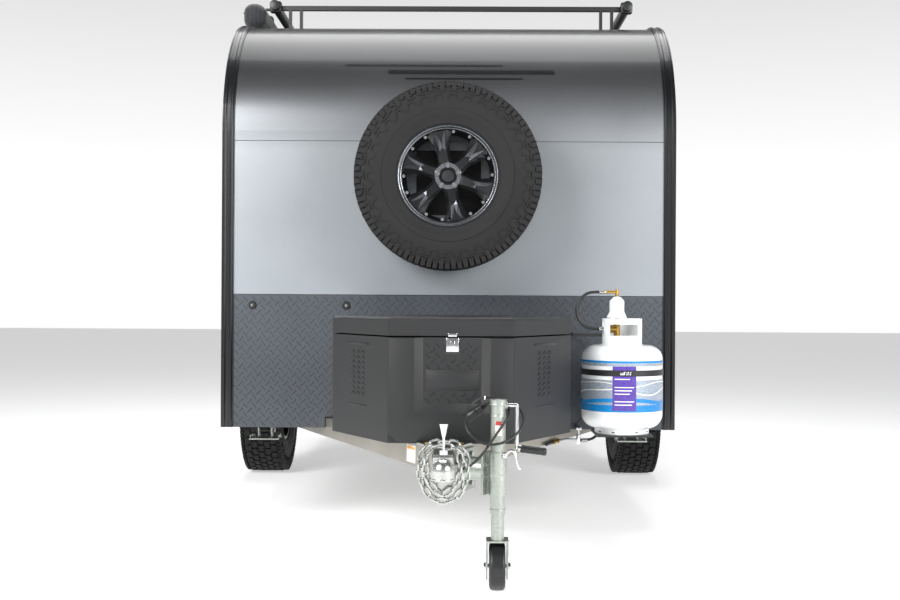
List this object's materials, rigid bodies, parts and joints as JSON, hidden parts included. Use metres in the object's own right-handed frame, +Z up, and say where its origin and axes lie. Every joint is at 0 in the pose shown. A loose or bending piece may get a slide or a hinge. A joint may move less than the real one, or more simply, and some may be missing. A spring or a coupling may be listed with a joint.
{
  "type": "travel trailer",
  "caption": "Small off-road travel trailer on its tongue jack, with side doors, a rear hatch, a tongue box, a gas cylinder, a spare wheel and a roof rack.",
  "frame": {"origin": "on the ground under the middle of the trailer's outline", "axes": "+Z up, -Y to the coupler, +X to the trailer's left side"},
  "size_m": [2.22, 4.37, 2.2609],
  "materials": {
    "grey_laminate": "satin",
    "tread_plate": "satin",
    "black_trim": "satin",
    "black_steel": "satin",
    "mill_aluminium": "satin",
    "galvanised_steel": "satin",
    "zinc_plate": "satin",
    "bright_steel": "polished",
    "black_plastic": "textured",
    "rubber": "matte",
    "tyre_rubber": "matte",
    "rim_alloy": "satin",
    "white_enamel": "gloss",
    "brass": "satin",
    "window_glass": "polished",
    "lamp_lens": "gloss",
    "bag_fabric": "woven",
    "mattress_fabric": "woven",
    "plywood": "satin",
    "vent_plastic": "satin"
  },
  "bodies": {
    "root": {"side_walls": "grey_laminate", "front_wall": "grey_laminate", "roof_shell": "grey_laminate", "front_lower_panel": "tread_plate", "rear_lower_panel": "tread_plate", "edge_trims": "black_trim", "floor_panel": "plywood", "wheel_wells": "black_steel", "fenders": "tread_plate", "chassis_rails": "mill_aluminium", "cross_members": "mill_aluminium", "rear_bumper": "black_steel", "torsion_axle": "black_steel", "spare_tyre": "tyre_rubber", "spare_rim": "rim_alloy", "spare_carrier": "black_steel", "coupler": "zinc_plate", "coupler_latch": "bright_steel", "safety_chains": "zinc_plate", "tongue_box": "black_plastic", "gas_cylinder": "white_enamel", "gas_regulator": "white_enamel", "gas_fittings": "brass", "gas_line": "bright_steel", "gas_pigtail": "rubber", "supply_hose": "rubber", "cylinder_carrier": "black_steel", "jack_tube": "bright_steel", "jack_crank": "bright_steel", "jack_bracket": "galvanised_steel", "roof_rack": "black_steel", "awning_bag": "bag_fabric", "roof_vent": "vent_plastic", "marker_lights": "lamp_lens", "mattress": "mattress_fabric", "galley_cabinet": "plywood", "wiring_cord": "rubber", "trailer_plug": "black_plastic"},
    "wheel_left": {"tyre_left": "tyre_rubber", "rim_left": "rim_alloy"},
    "wheel_right": {"tyre_right": "tyre_rubber", "rim_right": "rim_alloy"},
    "jack_leg": {"jack_leg": "galvanised_steel"},
    "caster_fork": {"caster_fork": "galvanised_steel"},
    "caster_wheel": {"caster_wheel": "black_plastic"},
    "box_lid": {"box_lid": "black_plastic"},
    "door_left": {"door_left": "grey_laminate", "door_glass_left": "window_glass"},
    "door_right": {"door_right": "grey_laminate", "door_glass_right": "window_glass"},
    "rear_hatch": {"rear_hatch": "grey_laminate"},
    "vent_lid": {"vent_lid": "vent_plastic"},
    "stabiliser_leg_front_left": {"stabiliser_leg_front_left": "black_steel"},
    "stabiliser_foot_front_left": {"stabiliser_foot_front_left": "galvanised_steel"},
    "stabiliser_leg_front_right": {"stabiliser_leg_front_right": "black_steel"},
    "stabiliser_foot_front_right": {"stabiliser_foot_front_right": "galvanised_steel"},
    "stabiliser_leg_rear_left": {"stabiliser_leg_rear_left": "black_steel"},
    "stabiliser_foot_rear_left": {"stabiliser_foot_rear_left": "galvanised_steel"},
    "stabiliser_leg_rear_right": {"stabiliser_leg_rear_right": "black_steel"},
    "stabiliser_foot_rear_right": {"stabiliser_foot_rear_right": "galvanised_steel"}
  },
  "joints": [
    {"name": "wheel_left_spin", "type": "hinge", "parent": "root", "child": "wheel_left", "pos_m": [-0.98, 0.675, 0.36], "axis": [1, 0, 0], "continuous": true},
    {"name": "wheel_right_spin", "type": "hinge", "parent": "root", "child": "wheel_right", "pos_m": [0.98, 0.675, 0.36], "axis": [1, 0, 0], "continuous": true},
    {"name": "jack_extend", "type": "slide", "parent": "root", "child": "jack_leg", "axis": [0, 0, 1], "range_m": [-0.15, 0.08]},
    {"name": "jack_caster_swivel", "type": "hinge", "parent": "jack_leg", "child": "caster_fork", "pos_m": [0.173, -1.945, 0.165], "axis": [0, 0, 1], "continuous": true},
    {"name": "jack_wheel_spin", "type": "hinge", "parent": "caster_fork", "child": "caster_wheel", "pos_m": [0.173, -1.92, 0.076], "axis": [1, 0, 0], "continuous": true},
    {"name": "box_lid_hinge", "type": "hinge", "parent": "root", "child": "box_lid", "pos_m": [0.02, -1.305, 0.81], "axis": [-1, 0, 0], "range_deg": [0, 80]},
    {"name": "door_left_hinge", "type": "hinge", "parent": "root", "child": "door_left", "pos_m": [-0.907, -0.614, 1.19], "axis": [0, 0, 1], "range_deg": [0, 95]},
    {"name": "door_right_hinge", "type": "hinge", "parent": "root", "child": "door_right", "pos_m": [0.907, -0.614, 1.19], "axis": [0, 0, -1], "range_deg": [0, 95]},
    {"name": "rear_hatch_hinge", "type": "hinge", "parent": "root", "child": "rear_hatch", "pos_m": [0, 2.085, 1.924], "axis": [1, 0, 0], "range_deg": [0, 85]},
    {"name": "vent_lid_hinge", "type": "hinge", "parent": "root", "child": "vent_lid", "pos_m": [0, 0.508, 2.17], "axis": [-1, 0, 0], "range_deg": [0, 60]},
    {"name": "stabiliser_front_left_drop", "type": "hinge", "parent": "root", "child": "stabiliser_leg_front_left", "pos_m": [-0.78, -0.30783, 0.415], "axis": [1, 0, 0], "range_deg": [0, 63]},
    {"name": "stabiliser_front_left_foot", "type": "hinge", "parent": "stabiliser_leg_front_left", "child": "stabiliser_foot_front_left", "pos_m": [-0.78, -0.685, 0.36869], "axis": [1, 0, 0], "range_deg": [-63.5, 0.5]},
    {"name": "stabiliser_front_right_drop", "type": "hinge", "parent": "root", "child": "stabiliser_leg_front_right", "pos_m": [0.78, -0.30783, 0.415], "axis": [1, 0, 0], "range_deg": [0, 63]},
    {"name": "stabiliser_front_right_foot", "type": "hinge", "parent": "stabiliser_leg_front_right", "child": "stabiliser_foot_front_right", "pos_m": [0.78, -0.685, 0.36869], "axis": [1, 0, 0], "range_deg": [-63.5, 0.5]},
    {"name": "stabiliser_rear_left_drop", "type": "hinge", "parent": "root", "child": "stabiliser_leg_rear_left", "pos_m": [-0.78, 1.42783, 0.415], "axis": [-1, 0, 0], "range_deg": [0, 63]},
    {"name": "stabiliser_rear_left_foot", "type": "hinge", "parent": "stabiliser_leg_rear_left", "child": "stabiliser_foot_rear_left", "pos_m": [-0.78, 1.805, 0.36869], "axis": [-1, 0, 0], "range_deg": [-63.5, 0.5]},
    {"name": "stabiliser_rear_right_drop", "type": "hinge", "parent": "root", "child": "stabiliser_leg_rear_right", "pos_m": [0.78, 1.42783, 0.415], "axis": [-1, 0, 0], "range_deg": [0, 63]},
    {"name": "stabiliser_rear_right_foot", "type": "hinge", "parent": "stabiliser_leg_rear_right", "child": "stabiliser_foot_rear_right", "pos_m": [0.78, 1.805, 0.36869], "axis": [-1, 0, 0], "range_deg": [-63.5, 0.5]}
  ],
  "couplings": [
    {"joint": "stabiliser_front_left_foot", "follows": "stabiliser_front_left_drop", "ratio": -1},
    {"joint": "stabiliser_front_right_foot", "follows": "stabiliser_front_right_drop", "ratio": -1},
    {"joint": "stabiliser_rear_left_foot", "follows": "stabiliser_rear_left_drop", "ratio": -1},
    {"joint": "stabiliser_rear_right_foot", "follows": "stabiliser_rear_right_drop", "ratio": -1}
  ]
}
